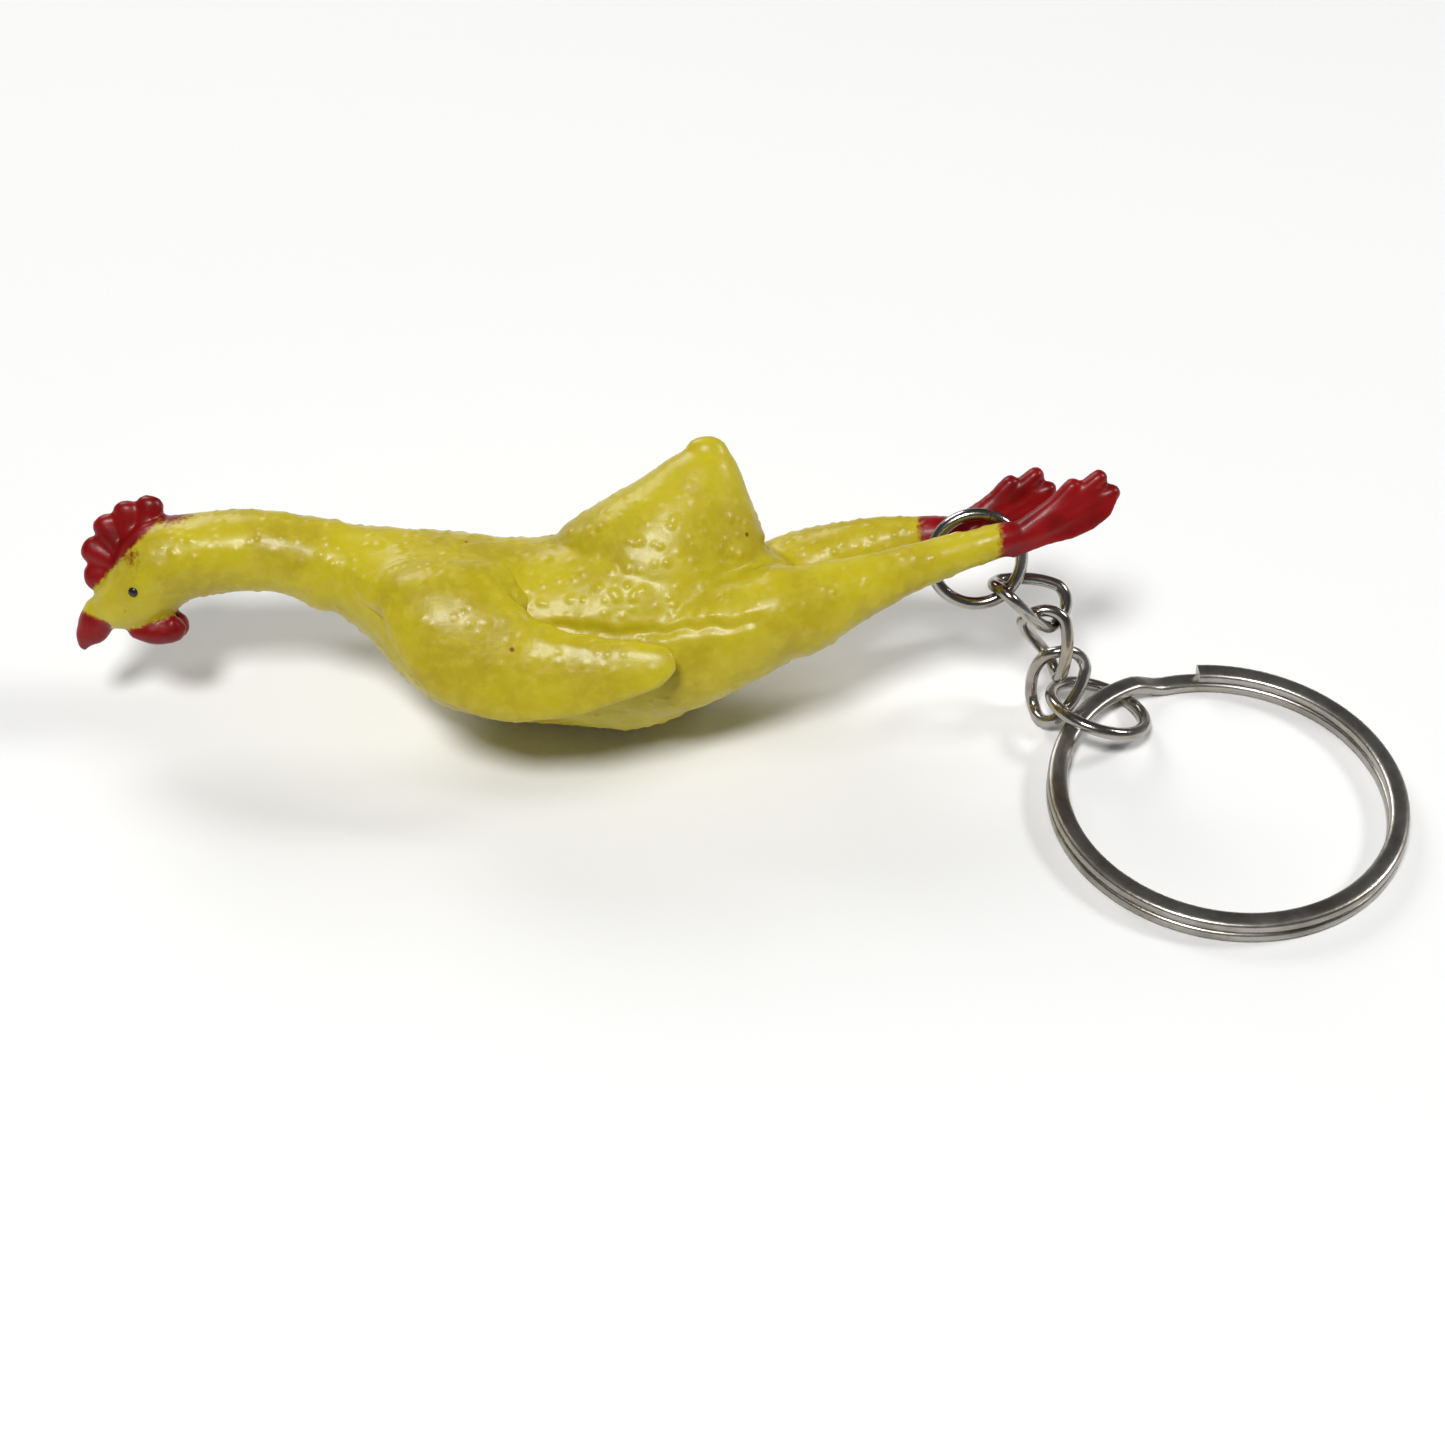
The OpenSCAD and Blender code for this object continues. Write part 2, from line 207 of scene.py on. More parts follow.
neck = {
    "rows": [[-46.0, 0, 7.1, 3.6, 3.5], [-44.2, 0, 7.3, 3.5, 3.5], [-42.0, 0, 7.6, 3.5, 3.4],
             [-39.1, 0, 7.8, 3.4, 3.3], [-35.9, 0, 7.4, 3.4, 3.4], [-32.6, 0, 6.4, 3.9, 3.8]],
}

head = {
    "rows": [[-45.0, 0, 7.2, 3.6, 3.5], [-46.9, 0, 6.7, 3.7, 3.6], [-48.1, 0, 5.3, 3.5, 3.4],
             [-49.4, 0, 4.1, 3.1, 3.0], [-50.8, 0, 3.2, 2.4, 2.4], [-51.8, 0, 2.7, 1.8, 1.8],
             [-52.5, 0, 2.4, 1.4, 1.3]],
}

beak = {
    "rows": [[-52.1, 0, 2.9, 1.2, 1.2], [-52.6, 0, 2.0, 1.45, 1.3], [-53.1, 0, 1.0, 1.4, 1.1],
             [-53.7, 0, 0.2, 1.0, 0.75], [-54.0, 0, -0.5, 0.45, 0.35]],
}

legs = {
    "left": [[4.4, 4.3, 3.4, 4.0, 4.0], [6.5, 4.2, 3.6, 3.8, 3.7], [9.4, 3.9, 4.7, 3.05, 3.0],
             [12.6, 3.5, 5.9, 2.4, 2.3], [15.8, 3.1, 7.0, 1.95, 1.9], [18.7, 2.8, 7.9, 1.7, 1.7],
             [21.6, 2.7, 8.8, 1.5, 1.6], [23.7, 2.7, 9.4, 1.35, 1.4]],
    "right": [[4.4, 4.3, 3.4, 4.0, 4.0], [6.5, 4.2, 4.7, 3.8, 3.7], [9.4, 3.9, 6.2, 3.05, 3.0],
              [12.6, 3.5, 7.4, 2.4, 2.3], [15.8, 3.1, 8.1, 1.95, 1.9], [18.7, 2.8, 8.6, 1.5, 1.6]],
}


def mirrored(rows, side):
    return [[r[0], side * r[1]] + list(r[2:]) for r in rows]


comb = {
    "root": (-49.3, 6.0),        # x and z
    "tips": [(-52.8, 5.5), (-52.8, 7.9), (-51.5, 10.0), (-49.6, 11.2), (-47.6, 11.6)],
    "rootSize": (0.8, 0.95), "middleSize": (1.0, 0.95), "tipSize": (1.16, 0.78),
    "middleAt": 0.6,             # share of the way from the root to a tip
    "web": [(-52.9, 4.4), (-53.0, 6.8), (-52.2, 8.9), (-50.7, 10.5), (-48.8, 11.3), (-46.9, 11.2),
            (-46.2, 10.2), (-49.3, 6.0)],
    "thick": 1.2,
}


def addComb(bm):
    rootX, rootZ = comb["root"]
    for x, z in comb["tips"]:
        middleX = rootX + comb["middleAt"] * (x - rootX)
        middleZ = rootZ + comb["middleAt"] * (z - rootZ)
        rows = [[rootX, 0, rootZ, *comb["rootSize"]],
                [middleX, 0, middleZ, *comb["middleSize"]],
                [x, 0, z, *comb["tipSize"]]]
        loft(bm, ringPlaces(rows))
    plate(bm, comb["web"], comb["thick"], 0)


wattles = {
    "rows": [[-49.2, 0.6, 1.1, 0.85, 0.8], [-47.6, 0.75, 0.95, 1.15, 0.95], [-46.0, 0.8, 1.2, 1.15, 0.95]],
}

feet = {
    "y": 2.7,
    "rightShift": (-4.5, -0.7),  # x and z of the right foot from the left one
    "ankle": (24.2, 9.3),
    "web": [(22.4, 8.0), (24.0, 7.8), (26.8, 8.9), (28.8, 9.4), (30.5, 10.2), (31.8, 11.3),
            (32.3, 12.5), (31.5, 13.1), (30.3, 13.2), (29.1, 13.2), (27.9, 12.6), (26.4, 11.5),
            (24.7, 10.6), (22.4, 10.3)],
    "webThick": 1.5,
    "ankleSize": (1.2, 1.15), "toeThick": 0.85, "toeSag": 0.25, "tipSize": (0.75, 0.8),
    "toes": [(28.7, 13.6, 0.85), (30.8, 14.3, 0.9), (31.9, 13.1, 1.1)],    # x, z, half height
}


def addFoot(bm, side):
    shiftX, shiftZ = feet["rightShift"] if side == right else (0, 0)
    y = side * feet["y"]
    plate(bm, [(x + shiftX, z + shiftZ) for x, z in feet["web"]], feet["webThick"], y)
    ankleX, ankleZ = feet["ankle"]
    for x, z, wide in feet["toes"]:
        rows = [[ankleX, 0, ankleZ, *feet["ankleSize"]],
                [(ankleX + 2 * x) / 3, 0, (ankleZ + 2 * z) / 3 - feet["toeSag"], wide, feet["toeThick"]],
                [x, 0, z, *feet["tipSize"]]]
        rows = [[r[0] + shiftX, y, r[2] + shiftZ, r[3], r[4]] for r in rows]
        loft(bm, ringPlaces(rows))


bridge = {                       # the moulded bridge that the jump ring hangs from
    "rows": [[21.6, -2.7, 8.5, 1.2, 1.2], [21.6, 0, 8.5, 0.95, 0.95], [21.6, 2.7, 8.3, 1.2, 1.2]],
}


def addBridge(bm):
    places = []
    for row in finerRows(bridge["rows"]):
        place = Matrix.Translation(row[:3]) @ Matrix.Rotation(math.radians(90), 4, "X")
        places.append(place @ Matrix.Diagonal((row[3], row[4], 1, 1)))
    loft(bm, places)


relief = {                       # mm; pairs say where something fades in
    "pimpleGap": 1.05,           # mm between the goose bumps
    "pimpleHeight": 0.12,
    "pimpleSmallest": 0.32,
    "pimpleSpread": 0.30,
    "pimpleMix": 7.3,            # another value deals the sizes out differently
    "lumpHeight": 0.10,          # slow unevenness of the hand-carved mould
    "lumpScale": 0.45,
    "face": (-45, -50), "faceCalm": 0.9,
    "feet": (21, 25),
    "tailHigh": (9, 15), "tailAlong": (-12, -6), "tailCalm": 0.75,
    "wingOut": (6.0, 8.5), "wingAlong": (-29, -26), "wingCalm": 0.5,
}


def pimple(p, gap):              # 0 to 1, round bumps of mixed size with bare skin between them
    distances, points = noise.voronoi(p / gap)
    luck = abs(noise.cell(points[0] * relief["pimpleMix"]))
    size = relief["pimpleSmallest"] + relief["pimpleSpread"] * luck
    d = distances[0] / size
    return (1 - d * d) ** 2 if d < 1 else 0.0


def pimpleShare(p):              # where the skin is pimply
    onFace = smoothStep(*relief["face"], p.x)
    onFoot = smoothStep(*relief["feet"], p.x)
    onTail = smoothStep(*relief["tailHigh"], p.z) * smoothStep(*relief["tailAlong"], p.x)
    onWing = smoothStep(*relief["wingOut"], abs(p.y)) * smoothStep(*relief["wingAlong"], p.x)
    body = (1 - relief["faceCalm"] * onFace) * (1 - onFoot)
    return body * (1 - relief["tailCalm"] * onTail) * (1 - relief["wingCalm"] * onWing)


eye = {
    "x": -48.7, "y": 3.0, "z": 4.9,
    "radius": 0.42, "domed": 0.45, "around": 32, "up": 16,
    "lid": 0.12, "lidRadius": 0.85, "lidWide": 0.22, "lidFrom": -46,
}


def eyelid(p):                   # a faint ring round each eye
    d = (p - Vector((eye["x"], math.copysign(eye["y"], p.y), eye["z"]))).length
    return eye["lid"] * math.exp(-((d - eye["lidRadius"]) / eye["lidWide"]) ** 2)


skirt = {                        # the edge of the back's skin over each thigh, in mm
    "front": -16, "back": 4, "inner": 3,
    "frontFade": 3, "backFade": 1.5, "innerFade": 2,
    "lowest": -6, "height": 2.5,
    "frontRise": 0.045, "backRise": 0.028, "backCurve": 1.7,
    "waver": 0.5, "waverScale": 0.5,
    "lip": 0.09, "lipAbove": 0.7, "lipWide": 0.6,
    "fold": 0.19, "foldWide": 0.42,
}


def skirtFold(p):                # a lip with a fold under it
    k = skirt
    if not k["front"] < p.x < k["back"] or abs(p.y) < k["inner"]:
        return 0.0
    line = k["height"] + k["frontRise"] * max(0, k["lowest"] - p.x)
    line += k["backRise"] * max(0, p.x - k["lowest"]) ** k["backCurve"]
    line += k["waver"] * noise.noise(Vector((p.x * k["waverScale"], p.y, 0)))
    share = smoothStep(k["front"], k["front"] + k["frontFade"], p.x)
    share *= smoothStep(k["back"], k["back"] - k["backFade"], p.x)
    share *= smoothStep(k["inner"], k["inner"] + k["innerFade"], abs(p.y))
    lip = k["lip"] * math.exp(-((p.z - line - k["lipAbove"]) / k["lipWide"]) ** 2)
    return share * (lip - k["fold"] * math.exp(-((p.z - line) / k["foldWide"]) ** 2))


def dimple(bm):
    bm.normal_update()
    moves = []
    for v in bm.verts:
        p = v.co
        part = pimpleShare(p)
        h = relief["pimpleHeight"] * part * pimple(p, relief["pimpleGap"])
        h += relief["lumpHeight"] * part * noise.noise(p * relief["lumpScale"])
        h += eyelid(p) if p.x < eye["lidFrom"] else skirtFold(p)
        moves.append(v.normal * h)
    for v, move in zip(bm.verts, moves):
        v.co += move


def addTrunk(bm):
    loft(bm, ringPlaces(torso["rows"], axis=(1, 0, 0)))
    loft(bm, ringPlaces(torso["saddle"], axis=(1, 0, 0)))
    loft(bm, ringPlaces(torso["tail"], axis=(0, 0, 1)))
    loft(bm, ringPlaces(neck["rows"]))


def birdSkin():
    bm = bmesh.new()
    addTrunk(bm)
    loft(bm, ringPlaces(head["rows"]))
    loft(bm, ringPlaces(beak["rows"]))
    addComb(bm)
    for side, legRows in ((left, legs["left"]), (right, legs["right"])):
        for rows in (legRows, torso["thigh"], wattles["rows"]):
            loft(bm, ringPlaces(mirrored(rows, side)))
        addFoot(bm, side)
    addBridge(bm)
    skin = fuse(bm, bird["voxel"])
    relax(skin, bird["allSmoothing"])
    relax(skin, bird["bodySmoothing"], lambda p: bird["bodyFrom"] < p.x < bird["bodyTo"])
    return skin


wing = {
    "rows": [[-27.9, 7.0, 5.6, 0.8, 0.6], [-26.9, 7.6, 4.7, 2.8, 1.2], [-25.4, 8.1, 3.7, 4.0, 1.6],
             [-23.5, 8.5, 2.7, 5.0, 1.8], [-20.5, 8.8, 1.8, 5.4, 1.8], [-17.9, 9.1, 1.0, 5.3, 1.6],
             [-16.2, 9.3, 0.3, 4.7, 1.4], [-14.9, 9.5, -0.2, 4.0, 1.3], [-11.9, 9.8, -0.4, 3.4, 1.2],
             [-8.7, 10.1, 0.0, 2.7, 1.0], [-5.5, 10.4, 0.4, 1.9, 0.8], [-4.2, 10.5, 0.6, 1.2, 0.6],
             [-3.7, 10.5, 0.7, 0.4, 0.3]],
    "shoulder": [[-28.4, 4.6, 5.2, 1.5, 1.5], [-26.4, 5.3, 5.1, 2.5, 2.5], [-23.6, 5.6, 5.0, 3.1, 3.1],
                 [-20.6, 5.6, 5.0, 3.2, 3.2], [-18.8, 5.8, 4.7, 2.7, 2.7], [-17.7, 6.0, 4.3, 1.9, 1.9]],
    "flare": 0.2,                # how far the lower edge stands out, for each mm of height
}


def addWing(bm, side):
    places = []
    for x, y, z, half, thick in finerRows(wing["rows"]):
        outward, lean = side * thick, -side * wing["flare"] * half
        places.append(Matrix(((0, 0, 1, x), (outward, lean, 0, side * y), (0, half, 0, z), (0, 0, 0, 1))))
    loft(bm, places)
    loft(bm, ringPlaces(mirrored(wing["shoulder"], side)))


def wingSkin(side):
    bm = bmesh.new()
    addWing(bm, side)
    skin = fuse(bm, bird["voxel"])
    relax(skin, bird["wingSmoothing"])
    return skin


shoulder = {                     # mm; pairs say where something fades in
    "high": (3.4, 5.4), "back": (-15.6, -18.0), "front": (-33, -31),
    "draw": (2.0, 1.3),          # how far away the joined skin still draws a vertex
    "deep": (-1.2, -0.3),        # vertices deeper inside the other skins stay
    "relaxFrom": 0.05,
}


def shoulderShare(p):            # where the wing and the back flow into each other
    k = shoulder
    return smoothStep(*k["high"], p.z) * smoothStep(*k["back"], p.x) * smoothStep(*k["front"], p.x)


def joinedSkin():                # back and wings as one skin, which the shoulders borrow
    bm = bmesh.new()
    addTrunk(bm)
    addWing(bm, left)
    addWing(bm, right)
    skin = fuse(bm, bird["joinedVoxel"])
    relax(skin, bird["allSmoothing"])
    relax(skin, bird["shoulderSmoothing"], lambda p: shoulderShare(p) > shoulder["relaxFrom"])
    return skin


def treeOf(bm):
    bm.normal_update()
    return BVHTree.FromBMesh(bm)


def settle(bm, joined, others, sink):    # lay the shoulder's vertices on the joined skin
    for v in bm.verts:
        part = shoulderShare(v.co)
        if part == 0:
            continue
        spot, outward, _, distance = joined.find_nearest(v.co, shoulder["draw"][0])
        if spot is None:
            continue
        depths = []              # how far the vertex lies outside each other skin
        for other in others:
            near, facing = other.find_nearest(v.co)[:2]
            depths.append((v.co - near).dot(facing))
        part *= smoothStep(*shoulder["deep"], max(depths)) * smoothStep(*shoulder["draw"], distance)
        v.co += (spot - outward * sink - v.co) * part


cuts = {                         # a point on each cut and the way to the far part
    "comb": ((-53.4, 0, 4.5), (-0.702, 0, 0.713)),
    "beak": ((-53.0, 0, 2.2), (-0.3, 0, -1)),
    "beakBack": ((-51.4, 0, 1.0), (-1, 0, 0)),
    "wattles": ((-50.6, 0, 0.6), (0.31, 0, -0.95)),
    "head": ((-40.7, 0, 8.5), (-0.886, 0, -0.464)),
    "neck": ((-28.6, 0, 5.0), (-1, 0, 0.2)),
    "hips": ((3.7, 0, 0), (1, 0, 0)),
    "middle": ((0, 0, 0), (0, 1, 0)),
    "webLeft": ((0, -1, 0), (0, 1, 0)),
    "webRight": ((0, 1, 0), (0, 1, 0)),
    "webBack": ((19.8, 0, 0), (1, 0, 0)),
    "leftFoot": ((23.8, 0, 0), (1, 0, 0)),
    "rightFoot": ((17.6, 0, 0), (1, 0, 0)),
}


def inFront(plane, p):           # millimetres in front of a plane
    point, normal = Vector(plane[0]), Vector(plane[1]).normalized()
    return (p - point).dot(normal)


cutReach = {                     # the stretch of skin that each plane cuts, in the order of the cuts
    "comb": lambda p: p.x < bird["faceBack"],
    "beak": lambda p: p.x < -51,
    "beakBack": lambda p: p.x < -50 and p.z < 3.5,
    "wattles": lambda p: -52 < p.x < -43 and p.z < 4,
    "head": lambda p: -46 < p.x < -36,
    "neck": lambda p: -33 < p.x < -25,
    "hips": lambda p: 2 < p.x < 5,
    "middle": lambda p: p.x > 3,
    "webLeft": lambda p: p.x > 19 and abs(p.y) < 2,
    "webRight": lambda p: p.x > 19 and abs(p.y) < 2,
    "webBack": lambda p: abs(p.y) < 1.2 and 19 < p.x < 21,
    "leftFoot": lambda p: p.y < 0 and p.x > 20,
    "rightFoot": lambda p: p.y > 0 and p.x > 15,
}


def cutAlong(bm, plane, near):   # new edges where a plane crosses the faces that near picks
    faces = [f for f in bm.faces if near(f.calc_center_median())]
    geom = faces + list({e for f in faces for e in f.edges}) + list({v for f in faces for v in f.verts})
    bmesh.ops.bisect_plane(bm, geom=geom, dist=1e-4, plane_co=plane[0], plane_no=plane[1])


def partAt(p):
    if p.x < bird["faceBack"]:
        if inFront(cuts["comb"], p) > 0:
            return "comb"
        if p.x < cuts["beakBack"][0][0]:
            return "beak" if inFront(cuts["beak"], p) > 0 else "head"
        if inFront(cuts["wattles"], p) > 0:
            return "wattles"
        return "head"
    if inFront(cuts["head"], p) > 0:
        return "head"
    if inFront(cuts["neck"], p) > 0:
        return "neck"
    if p.x < cuts["hips"][0][0]:
        return "torso"
    if abs(p.y) < cuts["webRight"][0][1] and p.x > cuts["webBack"][0][0]:
        return "ankleWeb"
    if p.y < 0:
        return "leftLeg" if p.x < cuts["leftFoot"][0][0] else "leftFoot"
    return "rightLeg" if p.x < cuts["rightFoot"][0][0] else "rightFoot"


paint = {                        # mm; pairs say where the paint fades in
    "head": -40, "body": 10,     # the red of the head lies before the first, of the legs behind the second
    "combEdge": (-1.1, 0.15), "beakEdge": (-0.8, 0.2), "wattleEdge": (-1.0, 0.2), "legEdge": (-2.2, -0.1),
    "beakAlong": (-50.9, -51.6), "wattlesAlong": (-44.6, -45.2),
    "bridgeFrom": 20, "bridgeHalf": 1.2,
    "nape": ((-46.0, 0, 10.7), 6.25, 0.86),    # overspray: place, spread in square mm and strength
    "brow": ((-48.6, 2.4, 7.6), 1.9, 0.72),
    "drops": [(-4.8, -5.6, 6.1), (-4.5, -5.7, 5.8), (-4.0, -5.6, 6.1), (-4.0, -5.8, 5.7),
              (-27.0, -5.4, -0.4)],
    "dropEdge": (0.38, 0.2),
}


def haze(cloud, p):
    place, spread, strength = cloud
    return strength * math.exp(-(p - Vector(place)).length_squared / spread)


def redAt(plane, edge, p):
    return smoothStep(*paint[edge], inFront(cuts[plane], p))


def paintAt(p):                  # 0 on bare rubber, 1 under the sprayed paint, between them overspray
    if p.x < paint["head"]:
        beakRed = redAt("beak", "beakEdge", p) * smoothStep(*paint["beakAlong"], p.x)
        wattleRed = redAt("wattles", "wattleEdge", p) * smoothStep(*paint["wattlesAlong"], p.x)
        nape = haze(paint["nape"], p)
        brow = haze(paint["brow"], Vector((p.x, abs(p.y), p.z)))
        return max(redAt("comb", "combEdge", p), beakRed, wattleRed, nape, brow)
    if p.x < paint["body"]:      # a few stray drops
        return max(smoothStep(*paint["dropEdge"], (p - Vector(drop)).length) for drop in paint["drops"])
    if abs(p.y) < paint["bridgeHalf"] and p.x > paint["bridgeFrom"]:
        return 1.0
    return redAt("leftFoot" if p.y < 0 else "rightFoot", "legEdge", p)


def finishPiece(name, bm, normals):
    piece = newObject(name, bm)
    mesh = piece.data
    mask = mesh.attributes.new("paint", "FLOAT", "POINT")
    mask.data.foreach_set("value", [paintAt(v.co) for v in mesh.vertices])
    mesh.transform(birdPlace)
    mesh.polygons.foreach_set("use_smooth", [True] * len(mesh.polygons))
    mesh.normals_split_custom_set_from_vertices([turned.to_3x3() @ Vector(n) for n in normals])
    return piece


def cutPiece(name, skin, part):
    bm = skin.copy()
    others = [f for f in bm.faces if partAt(f.calc_center_median()) != part]
    bmesh.ops.delete(bm, geom=others, context="FACES")
    rim = [e for e in bm.edges if e.is_boundary]
    bmesh.ops.holes_fill(bm, edges=rim, sides=0)
    layer = bm.verts.layers.float_vector["outward"]
    return finishPiece(name, bm, [v[layer].copy() for v in bm.verts])


def keepNormals(bm):
    bm.normal_update()
    layer = bm.verts.layers.float_vector.new("outward")
    for v in bm.verts:
        v[layer] = v.normal


skin = birdSkin()
wings = {"leftWing": wingSkin(left), "rightWing": wingSkin(right)}
joinedShoulders = joinedSkin()
joinedTree, skinTree = treeOf(joinedShoulders), treeOf(skin)
wingTrees = [treeOf(bm) for bm in wings.values()]
settle(skin, joinedTree, wingTrees, bird["shoulderSink"])
for bm in wings.values():
    settle(bm, joinedTree, [skinTree], 0)
    dimple(bm)
joinedShoulders.free()
dimple(skin)
eyeSpots = {}
for name, eyeSide in (("leftEye", left), ("rightEye", right)):
    eyeSpots[name] = treeOf(skin).find_nearest(Vector((eye["x"], eyeSide * eye["y"], eye["z"])))[:2]
print("chicken's skin:", len(skin.faces), "faces")
keepNormals(skin)
for name, near in cutReach.items():
    cutAlong(skin, cuts[name], near)

pieces = {}
for part in ("torso", "neck", "head", "comb", "beak", "wattles", "leftLeg", "rightLeg", "leftFoot",
             "rightFoot", "ankleWeb"):
    pieces[part] = cutPiece(part + "Skin", skin, part)
    print(part, len(pieces[part].data.polygons), "faces")
skin.free()
for part, bm in wings.items():
    bm.normal_update()
    pieces[part] = finishPiece(part + "Skin", bm, [v.normal.copy() for v in bm.verts])
    print(part, len(pieces[part].data.polygons), "faces")


wire = {
    "sides": 16,
    "ringGapDeg": 1.2,           # the butt joint of the bent rings
    "ringSteps": 96,
    "jumpSeamDeg": 75, "endSeamDeg": 60,    # where the butt joint lies round the ring
    "linkAcross": 1.05,          # mm
    "linkSteps": 96,
    "linkTwistDeg": 80,
    "linkStraight": 2.2,         # more makes the link's sides straighter
    "smoothDeg": 40,             # edges sharper than this stay sharp
}

keyRing = {
    "across": 30, "wide": 1.68, "high": 1.04, "between": 0.06,    # mm
    "upperEnd": 92.4, "lowerEnd": 158,                            # degrees round the ring
    "drop": (118, 104),          # where the wire comes down from the upper coil
    "arch": (170, 104),          # where it passes over the end loop
    "archHeight": 0.35,
    "stepDeg": 3, "sides": 20,
    "corner": 0.62,              # 1 makes the wire oval, less makes it squarer
}


def lieOf(node):                 # a node's middle and main axes, longest first, and its size along them
    mesh = frame["nodes"][node].data
    middles = np.array([f.center for f in mesh.polygons])
    areas = np.array([f.area for f in mesh.polygons])[:, None]
    middle = (middles * areas).sum(0) / areas.sum()
    spread = ((middles - middle) * areas).T @ (middles - middle)
    axes = np.linalg.eigh(spread)[1][:, ::-1]
    points = np.array([v.co for v in mesh.vertices]) - middle
    reach = np.abs(points @ axes).max(0)
    return Vector(middle), [Vector(a) for a in axes.T], reach


def bentRing(name, node, seamDeg):
    middle, axes, reach = lieOf(node)
    normal = axes[2] if axes[2].z > 0 else -axes[2]
    first = (Vector((1, 0, 0)) - normal * normal.x).normalized()
    place = Matrix((first, normal.cross(first), normal)).transposed().to_4x4()
    place.translation = middle
    wireRadius = reach[2]
    bm = bmesh.new()
    start = Matrix.Translation((reach[0] - wireRadius, 0, 0)) @ Matrix.Rotation(math.radians(90), 4, "X")
    bmesh.ops.create_circle(bm, cap_ends=True, segments=wire["sides"], radius=wireRadius, matrix=start)
    bmesh.ops.spin(bm, geom=bm.verts[:] + bm.edges[:] + bm.faces[:], cent=(0, 0, 0), axis=(0, 0, 1),
                   angle=math.radians(360 - wire["ringGapDeg"]), steps=wire["ringSteps"], use_merge=False)
    bmesh.ops.recalc_face_normals(bm, faces=bm.faces)
    turn = Matrix.Rotation(math.radians(seamDeg), 4, "Z")
    bmesh.ops.transform(bm, matrix=place @ turn, verts=bm.verts)
    return smoothPiece(name, bm)


def smoothPiece(name, bm):
    obj = newObject(name, bm)
    obj.data.polygons.foreach_set("use_smooth", [True] * len(obj.data.polygons))
    obj.data.set_sharp_from_angle(angle=math.radians(wire["smoothDeg"]))
    return obj


def twistedLink(name, node):
    middle, axes, reach = lieOf(node)
    wireRadius = wire["linkAcross"] / 2 * mm
    long, wide = 2 * (reach[0] - wireRadius), 2 * (reach[1] - wireRadius)
    place = Matrix((axes[0], axes[1], axes[0].cross(axes[1]))).transposed().to_4x4()
    place.translation = middle
    path = []
    for i in range(wire["linkSteps"]):
        a = 2 * math.pi * i / wire["linkSteps"]
        straight = max(-1, min(1, wire["linkStraight"] * math.cos(a)))
        x = (long - wide) / 2 * straight + wide / 2 * math.cos(a)
        t = math.radians(wire["linkTwistDeg"]) * x / long
        path.append(Vector((x, wide / 2 * math.sin(a) * math.cos(t), wide / 2 * math.sin(a) * math.sin(t))))
    places = []
    for i, p in enumerate(path):
        ahead = (path[(i + 1) % len(path)] - path[i - 1]).normalized()
        out = (p - ahead * p.dot(ahead)).normalized()
        section = Matrix((out * wireRadius, ahead.cross(out) * wireRadius, ahead)).transposed().to_4x4()
        section.translation = p
        places.append(place @ section)
    bm = bmesh.new()
    loft(bm, places, sides=wire["sides"], closed=True)
    bmesh.ops.recalc_face_normals(bm, faces=bm.faces)
    return smoothPiece(name, bm)


def squarer(value):
    return math.copysign(abs(value) ** keyRing["corner"], value)


def splitRing(name, node):
    r = keyRing
    low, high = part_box(node)
    coilRadius = (r["across"] - r["wide"]) / 2
    level = r["high"] + r["between"]
    total = 720 - (r["lowerEnd"] - r["upperEnd"])
    places = []
    steps = math.ceil(total / r["stepDeg"])
    for i in range(steps + 1):
        s = min(total, i * r["stepDeg"])
        fall = (s - (360 + r["upperEnd"] - r["drop"][0])) / (r["drop"][0] - r["drop"][1])
        arch = (s - (360 + r["upperEnd"] - r["arch"][0])) / (r["arch"][0] - r["arch"][1])
        z = r["high"] / 2 + level * (1 - smoothStep(0, 1, fall))
        z += r["archHeight"] * math.sin(math.pi * max(0, min(1, arch))) ** 2
        a = math.radians(r["upperEnd"] - s)
        out = Vector((math.cos(a), math.sin(a), 0))
        place = Matrix((out, (0, 0, 1), out.cross(Vector((0, 0, 1))))).transposed().to_4x4()
        place.translation = out * coilRadius + Vector((0, 0, z))
        places.append(place)
    outline = []
    for i in range(r["sides"]):
        turn = math.tau * i / r["sides"]
        outline.append((r["wide"] / 2 * squarer(math.cos(turn)), r["high"] / 2 * squarer(math.sin(turn))))
    bm = bmesh.new()
    loft(bm, places, sides=r["sides"], outline=outline)
    bmesh.ops.recalc_face_normals(bm, faces=bm.faces)
    middle = Vector(((low.x + high.x) / 2, (low.y + high.y) / 2, low.z))
    bmesh.ops.transform(bm, matrix=Matrix.Translation(middle) @ Matrix.Scale(mm, 4), verts=bm.verts)
    return smoothPiece(name, bm)


def eyeDot(name, spot, outward):    # a drop of black paint on the skin
    bm = bmesh.new()
    bmesh.ops.create_uvsphere(bm, u_segments=eye["around"], v_segments=eye["up"], radius=eye["radius"])
    flat = Matrix.Diagonal((1, 1, eye["domed"], 1))
    turn = outward.to_track_quat("Z", "Y").to_matrix().to_4x4()
    bmesh.ops.transform(bm, matrix=birdPlace @ Matrix.Translation(spot) @ turn @ flat, verts=bm.verts)
    return smoothPiece(name, bm)


for name, (spot, outward) in eyeSpots.items():
    pieces[name] = eyeDot(name, spot, outward)
pieces["jumpRing"] = bentRing("jumpRing", "jump_ring", wire["jumpSeamDeg"])
for i in (1, 2, 3):
    pieces["link%d" % i] = twistedLink("twistedLink%d" % i, "chain_link_%d" % i)
pieces["endLoop"] = bentRing("endLoop", "end_loop", wire["endSeamDeg"])
pieces["splitRing"] = splitRing("keySplitRing", "split_ring")
print("wire made")


